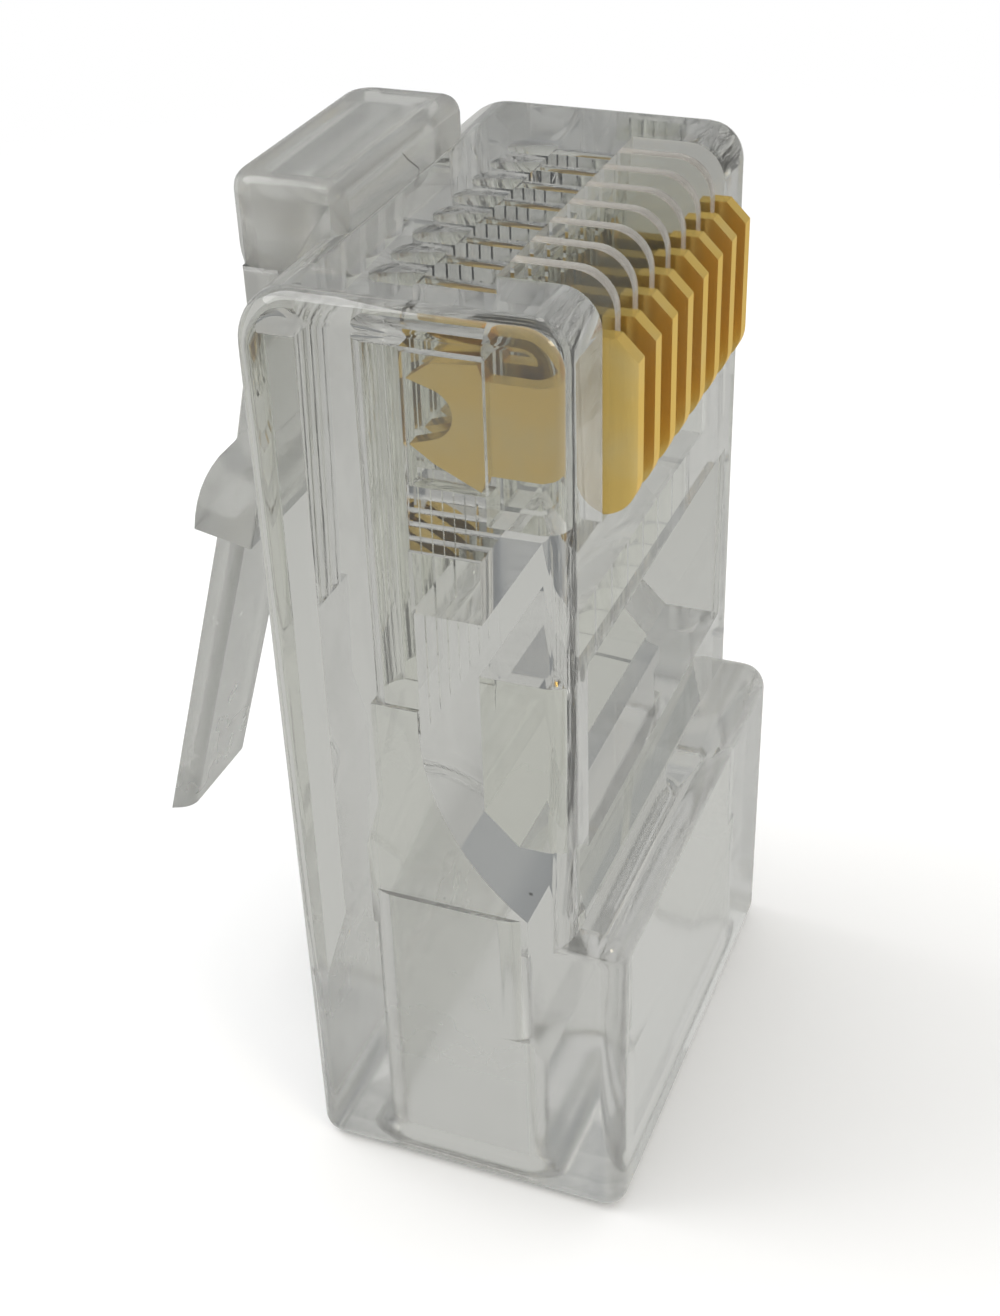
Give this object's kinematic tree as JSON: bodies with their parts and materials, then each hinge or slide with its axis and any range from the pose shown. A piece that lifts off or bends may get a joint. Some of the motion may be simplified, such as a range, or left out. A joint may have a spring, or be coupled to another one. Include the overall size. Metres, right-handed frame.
{
  "type": "rj45 modular plug",
  "caption": "Clear modular plug before crimping, with gold-plated piercing contacts, a springing latch and a cable cavity.",
  "frame": {"origin": "middle of the cable end, on which the plug stands, on the plane midway through the nose", "axes": "+Z towards the nose, +X towards the contact side, -X towards the latch, Y across the width"},
  "size_m": [0.0135, 0.0116, 0.0228],
  "materials": {
    "clear_plastic": "clear glossy moulding",
    "gold_plate": "polished gold plating"
  },
  "bodies": {
    "housing": {"housing": "clear_plastic"},
    "latch": {"latch": "clear_plastic"},
    "contact_1": {"contact_1": "gold_plate"},
    "contact_2": {"contact_2": "gold_plate"},
    "contact_3": {"contact_3": "gold_plate"},
    "contact_4": {"contact_4": "gold_plate"},
    "contact_5": {"contact_5": "gold_plate"},
    "contact_6": {"contact_6": "gold_plate"},
    "contact_7": {"contact_7": "gold_plate"},
    "contact_8": {"contact_8": "gold_plate"}
  },
  "joints": [
    {"name": "latch_press", "type": "hinge", "parent": "housing", "child": "latch", "pos_m": [-0.00357, 0, 0.02095], "axis": [0, -1, 0], "range_deg": [0, 17], "stiffness_Nm_per_rad": 0.3},
    {"name": "crimp_1", "type": "slide", "parent": "housing", "child": "contact_1", "axis": [-1, 0, 0], "range_m": [0, 0.001]},
    {"name": "crimp_2", "type": "slide", "parent": "housing", "child": "contact_2", "axis": [-1, 0, 0], "range_m": [0, 0.001]},
    {"name": "crimp_3", "type": "slide", "parent": "housing", "child": "contact_3", "axis": [-1, 0, 0], "range_m": [0, 0.001]},
    {"name": "crimp_4", "type": "slide", "parent": "housing", "child": "contact_4", "axis": [-1, 0, 0], "range_m": [0, 0.001]},
    {"name": "crimp_5", "type": "slide", "parent": "housing", "child": "contact_5", "axis": [-1, 0, 0], "range_m": [0, 0.001]},
    {"name": "crimp_6", "type": "slide", "parent": "housing", "child": "contact_6", "axis": [-1, 0, 0], "range_m": [0, 0.001]},
    {"name": "crimp_7", "type": "slide", "parent": "housing", "child": "contact_7", "axis": [-1, 0, 0], "range_m": [0, 0.001]},
    {"name": "crimp_8", "type": "slide", "parent": "housing", "child": "contact_8", "axis": [-1, 0, 0], "range_m": [0, 0.001]}
  ]
}
